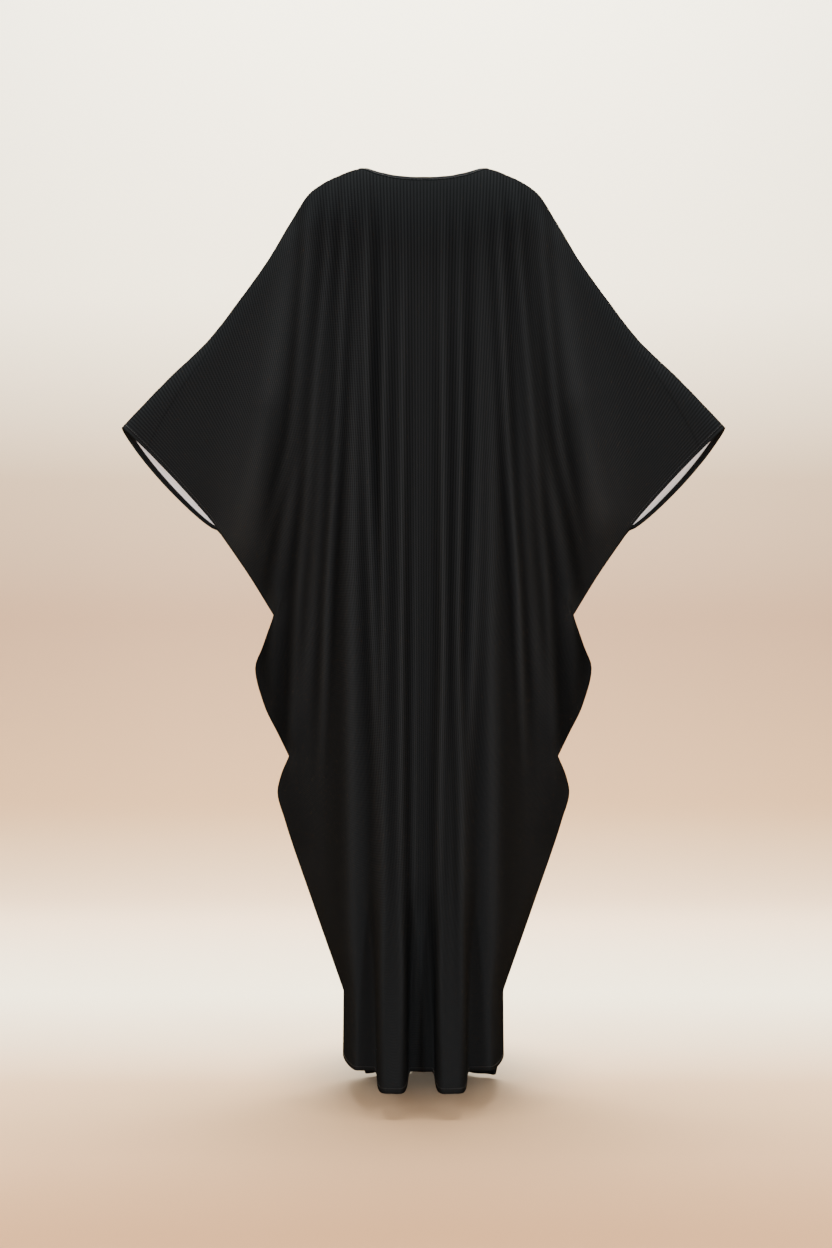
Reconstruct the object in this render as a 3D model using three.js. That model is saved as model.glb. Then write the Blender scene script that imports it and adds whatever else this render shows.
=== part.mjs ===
// Kaftan dress as worn: a full-length gown whose wide sleeves are cut in one with its front and back.
// The cloth is a thin wall on the form that it takes over a general figure with the arms held out.
// Millimetres, +Z up. The back faces +Y, the front -Y, and the wearer's left is +X.
// The origin is the middle of the neck opening, at the height of its two points on the shoulders.

import * as THREE from 'three';

// Cloth
const wall = 1.8;
const turnedHem = 10;
const turnedHemExtra = 1.2;
const hemInside = 1.02;
const seamGap = 0.3;

// Neck opening, as half widths of the surface from its middle
const neckHalfWidth = 93;
const neckToBack = 86;
const neckToFront = 205;
const bindingWidth = 10;
const bindingWall = 2.4;
const bindingGap = 0.6;

// Cuffs and the sleeve seam, which leaves the top of the shoulder and runs down the back of the arm
const cuffLength = 217;
const cuffBowBack = -6;
const cuffBowFront = 14;
const cuffBowFrom = 0.86;
const seamLeavesTopAt = 0.36;
const seamDropAtCuff = 75;

// Hem: the front hangs lower than the back and the sides
const hemLevel = -1377;
const frontHemDrop = 51;
const frontHemToLeft = 93;
const frontHemToRight = 115;
const frontHemCorner = 6;

// Mesh density
const neckColumns = 7;
const sleeveColumns = 20;
const topRows = 8;
const rowStep = 62;
// Columns and rows at the turned hems, as multiples of a turning's width in from the edge
const sleeveColumnsEnd = 2.4;
const hemStep = 1.08;
const rimColumn = 0.35;
// Columns crowd together where the flutes' sides stand: so many times over the width, this strongly
const crowds = 2;
const crowding = 0.045;

// Top line from the middle of the neck over the shoulder and arm to the cuff.
// round is how far below the line the cloth takes to turn over and hang.
const topLine = [
  { x: 0, z: 0, round: 150 },
  { x: 93, z: 0, round: 125 },
  { x: 132, z: -12, round: 100 },
  { x: 174, z: -37, round: 74 },
  { x: 204, z: -81, round: 60 },
  { x: 240, z: -140, round: 50 },
  { x: 284, z: -201, round: 44 },
  { x: 332, z: -263, round: 40 },
  { x: 396, z: -325, round: 37 },
  { x: 468, z: -400, round: 34 },
];

// Side edge from the top of the cuff to the hem. The cloth pinches in at the corners, where the
// fullness of the side folds over, and swells between them.
const sideEdge = [
  { x: 468, y: 0, z: -400, corner: true },
  { x: 320, y: -8, z: -558, corner: true },
  { x: 276, y: -32, z: -624 },
  { x: 232, y: 4, z: -691, corner: true },
  { x: 252, y: -26, z: -741 },
  { x: 264, y: -38, z: -773 },
  { x: 250, y: -30, z: -829 },
  { x: 225, y: -14, z: -878 },
  { x: 209, y: -4, z: -909, corner: true },
  { x: 223, y: -24, z: -941 },
  { x: 229, y: -36, z: -967 },
  { x: 218, y: -40, z: -1010 },
  { x: 175, y: -42, z: -1138 },
  { x: 126, y: -50, z: -1280, corner: true },
  { x: 127, y: -62, z: -1377, corner: true },
];

// Sections from the top line down to the hem, one row each, at a share of the way down. Depths of
// the back and the front at the middle, at the column's edge, out on the wing and at the rim.
// turn and frontTurn are the shares of the width in which the rim rounds over.
const sections = [
  { down: 0.0, columnX: 118, wingX: 300, back: 112, backColumn: 96, backWing: 41, rim: 34,
    front: 122, frontColumn: 104, frontWing: 41, turn: 0.012, frontTurn: 0.012 },
  { down: 0.12, columnX: 118, wingX: 260, back: 116, backColumn: 99, backWing: 45, rim: 32,
    front: 138, frontColumn: 118, frontWing: 46, turn: 0.012, frontTurn: 0.012 },
  { down: 0.2, columnX: 118, wingX: 225, back: 114, backColumn: 98, backWing: 46, rim: 8,
    front: 142, frontColumn: 120, frontWing: 50, turn: 0.012, frontTurn: 0.012 },
  { down: 0.35, columnX: 118, wingX: 178, back: 109, backColumn: 94, backWing: 44, rim: 7,
    front: 139, frontColumn: 114, frontWing: 56, turn: 0.012, frontTurn: 0.012 },
  { down: 0.56, columnX: 114, wingX: 162, back: 100, backColumn: 88, backWing: 34, rim: 7,
    front: 134, frontColumn: 112, frontWing: 66, turn: 0.012, frontTurn: 0.012 },
  { down: 0.8, columnX: 108, wingX: 150, back: 92, backColumn: 80, backWing: 14, rim: 8,
    front: 131, frontColumn: 112, frontWing: 84, turn: 0.02, frontTurn: 0.02 },
  { down: 0.91, columnX: 100, wingX: 120, back: 88, backColumn: 72, backWing: 28, rim: 14,
    front: 130, frontColumn: 114, frontWing: 96, turn: 0.08, frontTurn: 0.05 },
  { down: 1.0, columnX: 100, wingX: 114, back: 85, backColumn: 72, backWing: 56, rim: 100,
    front: 130, frontColumn: 122, frontWing: 116, turn: 0.2, frontTurn: 0.14 },
];

// Largest folds, one row each. The crest's x and how far it stands out are given at these five
// heights. half is its half width, and power how steep its sides are, at the top and at the hem.
const foldHeights = [-150, -400, -700, -1000, -1380];
const backFolds = [
  { name: 'left flute', x: [45, 46, 47, 47, 47],
    out: [0, 10, 20, 36, 84], half: [17, 24], power: [2, 6] },
  { name: 'right flute', x: [-42, -42, -40, -40, -41],
    out: [0, 10, 20, 36, 84], half: [16, 25], power: [2, 6] },
  { name: 'left column edge', x: [96, 104, 108, 108, 104],
    out: [8, 17, 19, 12, 4], half: [15, 14], power: [2, 2] },
  { name: 'right column edge', x: [-96, -102, -101, -104, -102],
    out: [8, 17, 19, 12, 4], half: [15, 14], power: [2, 2] },
  { name: 'left to lower pinch', x: [130, 153, 174, 212, 212],
    out: [8, 15, 15, 0, 0], half: [15, 15], power: [2, 2] },
  { name: 'right to lower pinch', x: [-127, -148, -171, -212, -212],
    out: [8, 15, 15, 0, 0], half: [15, 15], power: [2, 2] },
  { name: 'left to upper pinch', x: [165, 184, 234, 240, 240],
    out: [8, 16, 11, 0, 0], half: [13, 13], power: [2, 2] },
  { name: 'right to upper pinch', x: [-162, -178, -232, -240, -240],
    out: [8, 16, 11, 0, 0], half: [13, 13], power: [2, 2] },
  { name: 'left sleeve fold', x: [205, 245, 300, 300, 300],
    out: [8, 18, 0, 0, 0], half: [22, 22], power: [2, 2] },
  { name: 'right sleeve fold', x: [-203, -243, -300, -300, -300],
    out: [8, 18, 0, 0, 0], half: [22, 22], power: [2, 2] },
  { name: 'right inner fold', x: [-82, -81, -76, -67, -66],
    out: [3, 9, 12, 7, 0], half: [9, 9], power: [2, 2] },
];
const frontFolds = [
  { name: 'middle flute', x: [4, 3, 2, 0, -2],
    out: [0, 7, 16, 30, 52], half: [19, 25], power: [2, 4] },
  { name: 'left flute', x: [66, 64, 62, 60, 58],
    out: [2, 11, 19, 28, 38], half: [14, 15], power: [2, 2] },
  { name: 'right flute', x: [-60, -61, -60, -60, -58],
    out: [2, 9, 18, 26, 36], half: [14, 15], power: [2, 2] },
  { name: 'left column edge', x: [101, 106, 108, 106, 102],
    out: [7, 15, 18, 12, 4], half: [15, 14], power: [2, 2] },
  { name: 'right column edge', x: [-99, -104, -106, -105, -102],
    out: [7, 15, 18, 12, 4], half: [15, 14], power: [2, 2] },
  { name: 'left to lower pinch', x: [133, 150, 172, 212, 212],
    out: [7, 15, 17, 0, 0], half: [12, 12], power: [2, 2] },
  { name: 'right to lower pinch', x: [-136, -152, -174, -212, -212],
    out: [7, 14, 17, 0, 0], half: [12, 12], power: [2, 2] },
  { name: 'left to upper pinch', x: [168, 186, 233, 240, 240],
    out: [7, 15, 11, 0, 0], half: [13, 13], power: [2, 2] },
  { name: 'right to upper pinch', x: [-166, -182, -233, -240, -240],
    out: [7, 15, 11, 0, 0], half: [13, 13], power: [2, 2] },
  { name: 'left sleeve fold', x: [207, 247, 300, 300, 300],
    out: [8, 17, 0, 0, 0], half: [22, 22], power: [2, 2] },
  { name: 'right sleeve fold', x: [-206, -246, -300, -300, -300],
    out: [8, 17, 0, 0, 0], half: [22, 22], power: [2, 2] },
];
// Share of a flute's depth by which it hangs lower, and share of the width over which folds fade out
const fluteHang = 0.24;
const foldsFadeOver = 0.12;
// Share of the height below which the flutes' sides grow steep
const steepFrom = 0.78;

const clamp01 = (value) => Math.min(1, Math.max(0, value));
const mix = (from, to, share) => from + (to - from) * share;
const easeIn = (value) => clamp01(value) ** 2 * (3 - 2 * clamp01(value));
const quarterRound = (share) => Math.sqrt(1 - (1 - clamp01(share)) ** 2);

// Smooth curve through points (at, value) that never swings past them
function curveThrough(at, value) {
  const last = at.length - 1;
  const slope = at.slice(1).map((end, i) => (value[i + 1] - value[i]) / (end - at[i]));
  const tangent = at.map((_, i) => {
    if (i === 0) return slope[0];
    if (i === last) return slope[last - 1];
    if (slope[i - 1] * slope[i] <= 0) return 0;
    return (2 * slope[i - 1] * slope[i]) / (slope[i - 1] + slope[i]);
  });
  return (x) => {
    let i = 0;
    while (i < last - 1 && x > at[i + 1]) i += 1;
    const step = at[i + 1] - at[i];
    const s = clamp01((x - at[i]) / step);
    const rise = value[i + 1] - value[i];
    const bend = (1 - s) * (tangent[i] * step - rise) - s * (tangent[i + 1] * step - rise);
    return value[i] + rise * s + s * (1 - s) * bend;
  };
}

// The same through a table's rows, split at its corners, where the curve may turn sharply
function columnOf(rows, at, field) {
  const spans = [];
  let start = 0;
  rows.forEach((row, i) => {
    if (i > start && (row.corner || i === rows.length - 1)) {
      const part = rows.slice(start, i + 1);
      spans.push({ to: at[i], read: curveThrough(at.slice(start, i + 1), part.map((r) => r[field])) });
      start = i;
    }
  });
  return (x) => (spans.find((span) => x <= span.to) ?? spans[spans.length - 1]).read(x);
}

// Each row's share of the way along a line, and the line's length
function sharesAlong(rows) {
  const lengths = [0];
  for (let i = 1; i < rows.length; i += 1) {
    lengths.push(lengths[i - 1] + Math.hypot(rows[i].x - rows[i - 1].x, rows[i].z - rows[i - 1].z));
  }
  const total = lengths[rows.length - 1];
  return { shares: lengths.map((length) => length / total), total };
}

const top = sharesAlong(topLine);
const topX = columnOf(topLine, top.shares, 'x');
const topZ = columnOf(topLine, top.shares, 'z');
const topRound = columnOf(topLine, top.shares, 'round');

const side = sharesAlong(sideEdge);
const sideX = columnOf(sideEdge, side.shares, 'x');
const sideY = columnOf(sideEdge, side.shares, 'y');
const sideZ = columnOf(sideEdge, side.shares, 'z');
const cuffShare = cuffLength / side.total;
const cuffAlong = cuffLength + topRound(1) * (Math.PI / 2 - 1);

const downs = sections.map((row) => row.down);
const section = {};
Object.keys(sections[0]).forEach((field) => {
  section[field] = curveThrough(downs, sections.map((row) => row[field]));
});

// A fold's rise at a place on its panel
const foldShapes = new Map();
function foldShape(fold) {
  if (!foldShapes.has(fold)) {
    const upward = foldHeights.map((z) => -z);
    foldShapes.set(fold, { x: curveThrough(upward, fold.x), out: curveThrough(upward, fold.out) });
  }
  return foldShapes.get(fold);
}

function foldRise(folds, x, z) {
  const fall = clamp01(z / hemLevel);
  const steep = easeIn((fall - steepFrom) / (1 - steepFrom));
  return folds.reduce((sum, fold) => {
    const shape = foldShape(fold);
    const half = mix(fold.half[0], fold.half[1], fall);
    const away = Math.abs(x - shape.x(-z)) / half;
    return sum + shape.out(-z) * 2 ** -(away ** mix(fold.power[0], fold.power[1], steep));
  }, 0);
}

// Height of the hem at a share of the half width. The deep flutes of the back hang lower.
const backFlutes = backFolds.filter((fold) => fold.power[1] > 2);
function hemZ(isBack, share, sign) {
  const x = share * sideX(1);
  if (!isBack) {
    const lowTo = sign > 0 ? frontHemToLeft : frontHemToRight;
    return hemLevel - frontHemDrop * (1 - easeIn((x - lowTo) / frontHemCorner));
  }
  return hemLevel - fluteHang * foldRise(backFlutes, sign * x, hemLevel);
}

// Place on the panel as it is seen from behind, from the shares across and down it.
// The four outlines are blended over the panel, and the side's own swells fade towards the middle.
function outlinePoint(isBack, across, down, sign) {
  const pull = across ** 2;
  const shareUp = 1 - down;
  const cornerX = mix(topX(1), sideX(1), down);
  const cornerZ = mix(topZ(1), sideZ(1), down);
  const x = shareUp * topX(across) + down * across * sideX(1) + pull * (sideX(down) - cornerX);
  const z = shareUp * topZ(across) + down * hemZ(isBack, across, sign) + pull * (sideZ(down) - cornerZ);
  return { x, z };
}

// Length of a grain line from the top line to the hem, along the cloth
function grainLength(across) {
  const hang = mix(-hemLevel, side.total, across);
  return hang + topRound(across) * (Math.PI / 2 - 1);
}

// Point of the outer face. across runs from -1 to 1 over the width. along is the distance over the
// cloth from the top line, down the front where it is positive and down the back where negative.
function clothPoint(across, along) {
  const sign = Math.sign(across) || 1;
  const share = Math.abs(across);
  const isBack = along < 0;
  const facing = isBack ? 1 : -1;
  const round = topRound(share);
  const angle = Math.min(Math.abs(along) / round, Math.PI / 2);
  const drop = round * (1 - Math.cos(angle)) + Math.max(0, Math.abs(along) - round * (Math.PI / 2));
  const down = clamp01(drop / mix(-hemLevel, side.total, share));

  const place = outlinePoint(isBack, share, down, sign);
  const inCuff = clamp01(1 - down / cuffShare);
  const bow = Math.sqrt(Math.sin(Math.PI * inCuff)) * easeIn((share - cuffBowFrom) / (1 - cuffBowFrom));
  const bowLength = bow * (isBack ? cuffBowBack : cuffBowFront);
  place.x += bowLength * Math.SQRT1_2;
  place.z -= bowLength * Math.SQRT1_2;

  const edgeX = Math.max(sideX(down), place.x + 1);
  const columnX = section.columnX(down);
  const wingX = section.wingX(down);
  const edgeY = sideY(down);
  const depths = isBack
    ? [section.back(down), section.backColumn(down), section.backWing(down), edgeY + section.rim(down)]
    : [section.front(down), section.frontColumn(down), section.frontWing(down), section.rim(down) - edgeY];
  const depth = curveThrough([0, columnX, wingX, edgeX], depths)(place.x);

  // Distance from the side seam, which starts at the bottom of the cuff
  const aboveSeam = Math.max(0, cuffShare - down) * side.total / top.total;
  const toSeam = Math.hypot(1 - share, aboveSeam);
  const turn = isBack ? section.turn(down) : section.frontTurn(down);
  const closing = quarterRound(toSeam / turn);
  const folds = isBack ? backFolds : frontFolds;
  const rise = foldRise(folds, sign * place.x, place.z) * easeIn(toSeam / foldsFadeOver);
  const fullDepth = facing * (depth + rise) * Math.sin(angle);
  const y = mix(edgeY * Math.sin(angle), fullDepth, closing);
  return new THREE.Vector3(sign * place.x, y, place.z);
}

// Outward direction at a place, taken over a short step each way
function clothNormal(across, along) {
  const step = 5;
  const shareStep = step / top.total;
  const limit = grainLength(Math.abs(across));
  const left = Math.min(across + shareStep, 1);
  const right = Math.max(across - shareStep, -1);
  const later = Math.min(along + step, limit);
  const earlier = Math.max(along - step, -limit);
  const over = clothPoint(left, along).sub(clothPoint(right, along));
  const downward = clothPoint(across, later).sub(clothPoint(across, earlier));
  const normal = downward.cross(over);
  const onSideSeam = Math.abs(across) === 1 && Math.abs(along) > cuffAlong;
  if (onSideSeam) normal.y = 0;
  return normal.normalize();
}

// Where a panel starts below its neckline or sleeve seam, as a distance along the cloth
function seamAlong(share) {
  return -seamDropAtCuff * clamp01((share - seamLeavesTopAt) / (1 - seamLeavesTopAt));
}

function panelStart(isBack, share) {
  const reach = neckHalfWidth + bindingWidth + bindingGap;
  const x = topX(share);
  if (x >= reach) return seamAlong(share) + (isBack ? -seamGap / 2 : seamGap / 2);
  const deep = (isBack ? neckToBack : neckToFront) + bindingWidth + bindingGap;
  const along = Math.max(deep * Math.sqrt(1 - (x / reach) ** 2), seamGap / 2);
  return isBack ? -along : along;
}

// Shares across a panel: close together by the neck's corner, over the hem turnings and at the seams
function columnShares() {
  const shareAtX = (x) => x / top.total;
  const reach = neckHalfWidth + bindingWidth + bindingGap;
  const half = [];
  for (let i = 0; i < neckColumns; i += 1) {
    half.push(shareAtX(reach * Math.sin((Math.PI / 2) * (i / neckColumns))));
  }
  const first = shareAtX(reach);
  const turning = turnedHem / top.total;
  const lastOpen = 1 - sleeveColumnsEnd * turning;
  for (let i = 0; i < sleeveColumns; i += 1) {
    const even = i / (sleeveColumns - 1);
    half.push(mix(first, lastOpen, even - crowding * Math.sin(2 * Math.PI * crowds * even)));
  }
  half.push(1 - hemStep * turning, 1 - turning, 1 - rimColumn * turning, 1);
  return [...half.slice(1).reverse().map((share) => -share), ...half];
}

// Shares down a panel, with a row of points at each row of the side edge's table
function rowShares(isBack) {
  const start = panelStart(isBack, 1);
  const end = (isBack ? -1 : 1) * grainLength(1);
  const span = Math.abs(end - start);
  const turned = topRound(1) * (Math.PI / 2 - 1);
  const aboveTop = isBack ? start : -start;
  const keys = side.shares.slice(1).map((share) => share * side.total + turned + aboveTop);
  const rows = [];
  for (let i = 0; i < topRows; i += 1) rows.push((keys[0] * i) / topRows);
  keys.slice(0, -1).forEach((from, i) => {
    const to = keys[i + 1];
    const steps = Math.max(1, Math.round((to - from) / rowStep));
    for (let k = 0; k < steps; k += 1) rows.push(mix(from, to, k / steps));
  });
  rows.push(span - hemStep * turnedHem, span - turnedHem, span);
  return rows.map((row) => row / span);
}

// Closed wall between a grid of outer points and the same points moved in by the cloth's thickness
function wallGeometry(outer, inner, isRing, isReversed) {
  const columns = outer.length;
  const rows = outer[0].length;
  const positions = [];
  [outer, inner].flat(2).forEach((point) => positions.push(point.x, point.y, point.z));
  const at = (face, column, row) => (face * columns + (column % columns)) * rows + row;
  const indices = [];
  const quad = (a, b, c, d) => {
    if (isReversed) indices.push(a, c, b, a, d, c);
    else indices.push(a, b, c, a, c, d);
  };
  const lastColumn = isRing ? columns : columns - 1;
  for (let i = 0; i < lastColumn; i += 1) {
    for (let j = 0; j < rows - 1; j += 1) {
      quad(at(0, i, j), at(0, i, j + 1), at(0, i + 1, j + 1), at(0, i + 1, j));
      quad(at(1, i, j), at(1, i + 1, j), at(1, i + 1, j + 1), at(1, i, j + 1));
    }
    quad(at(0, i, 0), at(0, i + 1, 0), at(1, i + 1, 0), at(1, i, 0));
    quad(at(0, i, rows - 1), at(1, i, rows - 1), at(1, i + 1, rows - 1), at(0, i + 1, rows - 1));
  }
  if (!isRing) {
    for (let j = 0; j < rows - 1; j += 1) {
      quad(at(0, 0, j), at(1, 0, j), at(1, 0, j + 1), at(0, 0, j + 1));
      const end = columns - 1;
      quad(at(0, end, j), at(0, end, j + 1), at(1, end, j + 1), at(1, end, j));
    }
  }
  const geometry = new THREE.BufferGeometry();
  geometry.setAttribute('position', new THREE.Float32BufferAttribute(positions, 3));
  geometry.setIndex(indices);
  geometry.computeVertexNormals();
  return geometry;
}

const blackCloth = () => new THREE.MeshStandardMaterial({ color: 0x131314, roughness: 0.72, metalness: 0 });

// Front or back, with its half of each sleeve
function makePanel(name, isBack) {
  const columns = columnShares();
  const rows = rowShares(isBack);
  const facing = isBack ? 1 : -1;
  const outer = [];
  const inner = [];
  columns.forEach((across) => {
    const share = Math.abs(across);
    const start = panelStart(isBack, share);
    const end = -facing * grainLength(share);
    const outerLine = [];
    const innerLine = [];
    rows.forEach((row) => {
      const along = mix(start, end, row);
      const point = clothPoint(across, along);
      point.y += facing * (seamGap / 2) * easeIn((share - cuffBowFrom) / (1 - cuffBowFrom));
      const nearHem = Math.abs(end - along) < turnedHem * hemInside;
      const atCuff = (1 - share) * top.total < turnedHem * hemInside;
      const nearCuff = atCuff && Math.abs(along) < cuffAlong - turnedHem;
      const thickness = wall + (nearHem || nearCuff ? turnedHemExtra : 0);
      outerLine.push(point);
      innerLine.push(point.clone().addScaledVector(clothNormal(across, along), -thickness));
    });
    outer.push(outerLine);
    inner.push(innerLine);
  });
  const geometry = wallGeometry(outer, inner, false, isBack);
  const mesh = new THREE.Mesh(geometry, blackCloth());
  mesh.name = name;
  return mesh;
}

// Bias strip round the neck, level with the cloth's outer face
function makeNeckBinding() {
  const outer = [];
  const inner = [];
  const steps = 4 * neckColumns;
  for (let i = 0; i < steps; i += 1) {
    const angle = (2 * Math.PI * i) / steps;
    const outerLine = [];
    const innerLine = [];
    [0, bindingWidth / 2, bindingWidth].forEach((width) => {
      const x = (neckHalfWidth + width) * Math.cos(angle);
      const reach = (Math.sin(angle) > 0 ? neckToFront : neckToBack) + width;
      const along = reach * Math.sin(angle);
      const across = x / top.total;
      const point = clothPoint(across, along);
      outerLine.push(point);
      innerLine.push(point.clone().addScaledVector(clothNormal(across, along), -bindingWall));
    });
    outer.push(outerLine);
    inner.push(innerLine);
  }
  const mesh = new THREE.Mesh(wallGeometry(outer, inner, true, true), blackCloth());
  mesh.name = 'neck_binding';
  return mesh;
}

const dress = new THREE.Group();
dress.name = 'kaftan_dress';
dress.add(makePanel('back_panel', true));
dress.add(makePanel('front_panel', false));
dress.add(makeNeckBinding());

export default dress;
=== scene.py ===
"""Kaftan dress as worn, seen from the back: thin ribbed black cloth with a white reverse.

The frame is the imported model's: +Z up, the back faces +Y, the wearer's left is +X. The cloth is
worked out in millimetres, and its points are turned into metres when its mesh is made. Studio, lights
and camera are in metres. The top line, side edge, sections and largest folds are the construction's.
The walls, seams, hem and flutes differ a little from it, and finer folds and a denser mesh are added.
"""

import math

import bpy
import numpy as np
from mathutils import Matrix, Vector


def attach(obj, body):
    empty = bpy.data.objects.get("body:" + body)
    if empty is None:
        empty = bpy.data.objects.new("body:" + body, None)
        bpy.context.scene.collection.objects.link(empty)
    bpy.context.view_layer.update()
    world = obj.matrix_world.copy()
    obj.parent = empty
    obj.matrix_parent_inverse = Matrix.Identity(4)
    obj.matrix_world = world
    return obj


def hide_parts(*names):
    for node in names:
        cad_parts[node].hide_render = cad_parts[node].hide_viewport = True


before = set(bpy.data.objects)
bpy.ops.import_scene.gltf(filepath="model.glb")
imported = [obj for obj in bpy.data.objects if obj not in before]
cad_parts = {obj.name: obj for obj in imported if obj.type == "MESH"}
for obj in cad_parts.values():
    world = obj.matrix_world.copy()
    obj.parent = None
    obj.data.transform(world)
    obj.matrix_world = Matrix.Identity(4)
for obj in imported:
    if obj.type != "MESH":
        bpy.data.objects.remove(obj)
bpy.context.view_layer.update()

MM = 0.001

# Cloth: its wall, the width of the turned edges and their extra wall, the seams' gap, how far the
# cloth dips beside them and over what distance, and the width of the black edge inside
WALL = 1.5
TURNED_HEM = 10.0
TURNED_HEM_EXTRA = 0.9
SEAM_GAP = 0.1
SEAM_DIP = 0.7
SEAM_DIP_OVER = 3.0
SEAM_EDGE = 3.2

# Neck opening, as distances over the cloth from its middle. The binding's rows are shares of its
# width, its puff rises over the rounding's distance from both edges, and the radius that its weave is
# spread round is in metres.
NECK_HALF_WIDTH = 93.0
NECK_TO_BACK = 86.0
NECK_TO_FRONT = 205.0
BINDING_WIDTH = 10.0
BINDING_WALL = 2.2
BINDING_GAP = 0.4
BINDING_PUFF = 0.6
BINDING_ROUNDING = 2.0
BINDING_ROWS = [0.0, 0.06, 0.25, 0.5, 0.75, 0.94, 1.0]
BINDING_WEAVE_RADIUS = 0.09

# Cuffs and the sleeve seam. The cuffs' edges run down at about 45 degrees and bow across that line:
# in at the back and out in front.
CUFF_LENGTH = 217.0
CUFF_BOW_BACK = -6.0
CUFF_BOW_FRONT = 14.0
CUFF_BOW_FROM = 0.86
CUFF_SLOPE = math.sqrt(0.5)
SEAM_LEAVES_TOP_AT = 0.36
SEAM_DROP_AT_CUFF = 75.0

# Hem: its level, how much lower the front's middle hangs and where that ends, how fast the hem's
# shape fades above it, and how much lower the flutes hang for each millimetre that they stand out
HEM_LEVEL = -1380.0
FRONT_HEM_DROP = 48.0
FRONT_HEM_TO_LEFT = 93.0
FRONT_HEM_TO_RIGHT = 115.0
FRONT_HEM_CORNER = 6.0
HEM_SHAPE_FADES = 24
FLUTE_HANG = 0.18

# Half widths, in metres, that the weave spreads over at the sleeves and at the hem
CUT_HALF_AT_SLEEVE = 0.66
CUT_HALF_AT_HEM = 0.46

# Topstitching: length of a stitch with its gap, where along it the thread's three rings lie, their
# radii and heights, how many sides a ring has, the distances in from the edges, the share of the
# hem's half width that is stitched, and from how many points each line is drawn
STITCH_PITCH = 3.4
STITCH_SPOTS = [0.12, 0.5, 0.88]
STITCH_RADII = [0.12, 0.34, 0.12]
STITCH_HEIGHTS = [-0.15, 0.15, -0.15]
STITCH_SIDES = 5
NECK_STITCH_IN = 1.8
CUFF_STITCH_IN = 7.0
HEM_STITCH_IN = 6.0
HEM_STITCH_REACH = 0.99
NECK_STITCH_POINTS = 241
CUFF_STITCH_POINTS = 260
HEM_STITCH_POINTS = 800

# Mesh density: columns from the middle to the cuffs, then rows from the seam to the hem. The columns
# and rows of the turned bands are given in widths of a band from the edge. The last three: up to how
# many widths a point counts as in the band, how far to each side the cloth's direction is measured, and
# the least distance from a point to the side edge.
NECK_COLUMNS = 44
SLEEVE_COLUMNS = 90
SLEEVE_COLUMNS_END = 1.6
BAND_COLUMNS = [1.06, 1.0, 0.75, 0.5, 0.3, 0.15, 0.05, 0.0]
TOP_ROWS = 34
SEAM_ROWS = [0.7, 1.5, 2.6, 4.2]
ROW_STEP = 8.6
ROWS_END = 1.5
BAND_ROWS = [1.06, 1.0, 0.5, 0.0]
BAND_SLACK = 1.01
NORMAL_STEP = 3.0
LEAST_TO_EDGE = 1.0

# Top line from the middle of the neck over the shoulder and arm to the cuff: x, z, and how far
# below the line the cloth takes to turn over and hang
TOP_LINE = {
    "x": [0, 93, 132, 174, 204, 240, 284, 332, 396, 468],
    "z": [0, 0, -12, -37, -81, -140, -201, -263, -325, -400],
    "round": [150, 125, 100, 74, 60, 50, 44, 40, 37, 34],
}

# Side edge from the top of the cuff to the hem, split where the cloth pinches in sharply
SIDE_EDGE = {
    "x": [468, 320, 276, 232, 252, 264, 250, 225, 209, 223, 229, 218, 175, 126, 127],
    "y": [0, -8, -32, 4, -26, -38, -30, -14, -4, -24, -36, -40, -42, -50, -62],
    "z": [-400, -558, -624, -691, -741, -773, -829, -878, -909, -941, -967, -1010, -1138, -1280, -1380],
}
SIDE_CORNERS = [0, 1, 3, 8, 13, 14]

# Sections from the top line down to the hem. Depths of the back and the front at the middle, at the
# column's edge and out on the wing, half thickness at the rim, and the shares of the width that turn.
SECTIONS = {
    "down": [0.0, 0.12, 0.2, 0.35, 0.56, 0.8, 0.91, 1.0],
    "column_x": [118, 118, 118, 118, 114, 108, 100, 100],
    "wing_x": [300, 260, 225, 178, 162, 150, 120, 114],
    "back": [112, 116, 114, 109, 100, 92, 88, 85],
    "back_column": [96, 99, 98, 94, 88, 80, 72, 72],
    "back_wing": [41, 45, 46, 44, 34, 14, 28, 56],
    "rim": [34, 32, 8, 7, 7, 8, 14, 100],
    "front": [122, 138, 142, 139, 134, 131, 130, 130],
    "front_column": [104, 118, 120, 114, 112, 112, 114, 122],
    "front_wing": [41, 46, 50, 56, 66, 84, 96, 116],
    "turn": [0.012, 0.012, 0.012, 0.012, 0.012, 0.02, 0.08, 0.2],
    "front_turn": [0.012, 0.012, 0.012, 0.012, 0.012, 0.02, 0.05, 0.14],
}

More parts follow.
